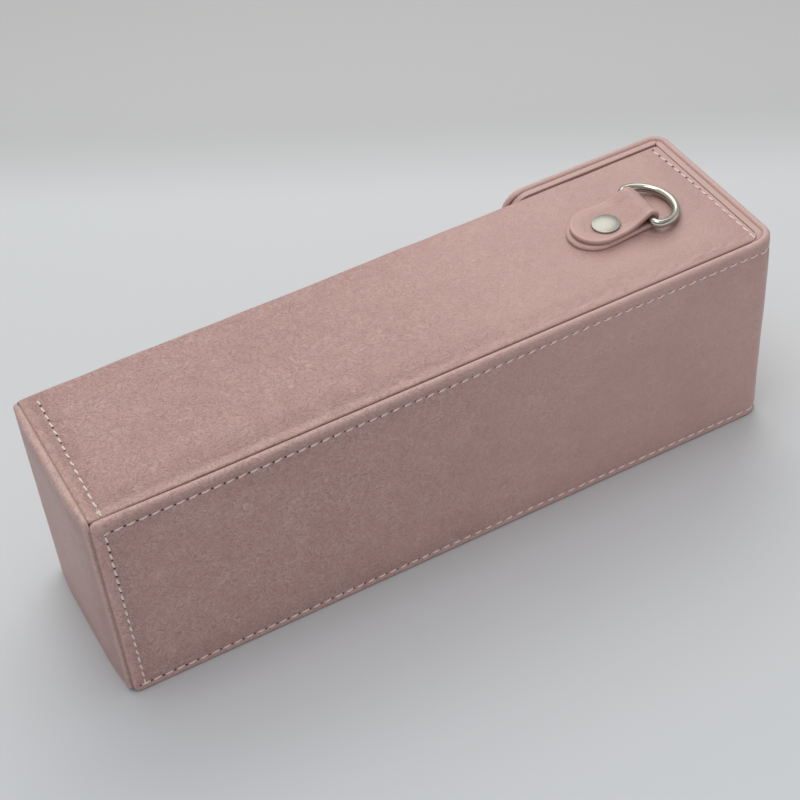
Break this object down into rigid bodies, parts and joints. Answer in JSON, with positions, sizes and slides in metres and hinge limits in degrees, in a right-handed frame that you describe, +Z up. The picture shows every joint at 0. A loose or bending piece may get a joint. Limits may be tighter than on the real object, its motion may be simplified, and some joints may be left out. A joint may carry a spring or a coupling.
{
  "type": "leather jewellery case",
  "caption": "Long leather jewellery case lying on its side, with an end lid and closing flap in one strap, turned stitched edges and a D-ring on a riveted tab.",
  "frame": {"origin": "middle of the footprint, on the surface the case lies on", "axes": "+X from the closed base end to the lid, +Y from the back wall to the front wall with the flap, +Z up through the side with the ring"},
  "size_m": [0.25, 0.0702, 0.0867],
  "materials": {
    "outer_leather": "satin",
    "inner_leather": "satin",
    "lining": "matt",
    "board": "matt",
    "nickel": "polished",
    "steel": "plain",
    "magnet": "plain"
  },
  "bodies": {
    "case": {"back_board": "board", "back_cover": "outer_leather", "back_lining": "lining", "front_board": "board", "front_lining": "lining", "ring_side_board": "board", "ring_side_lining": "lining", "plain_side_board": "board", "plain_side_lining": "lining", "body_cover": "outer_leather", "base_board": "board", "base_cover": "outer_leather", "base_pad": "lining", "keeper_plates": "steel", "ring_tab": "outer_leather", "rivet_cap": "nickel", "rivet_post": "nickel"},
    "lid": {"lid_board": "board", "lid_cover": "outer_leather", "lid_pad": "inner_leather"},
    "flap": {"flap_board": "board", "flap_cover": "outer_leather", "flap_pad": "inner_leather", "flap_magnets": "magnet"},
    "ring": {"d_ring": "nickel"}
  },
  "joints": [
    {"name": "lid_hinge", "type": "hinge", "parent": "case", "child": "lid", "pos_m": [0.12335, -0.0335, 0.04], "axis": [0, 0, -1], "range_deg": [0, 180]},
    {"name": "flap_hinge", "type": "hinge", "parent": "lid", "child": "flap", "pos_m": [0.12335, 0.0335, 0.04], "axis": [0, 0, -1], "range_deg": [0, 180]},
    {"name": "ring_swing", "type": "hinge", "parent": "case", "child": "ring", "pos_m": [0.0925, -0.00031, 0.08308], "axis": [0.0087, -1, 0], "range_deg": [0, 165]}
  ]
}
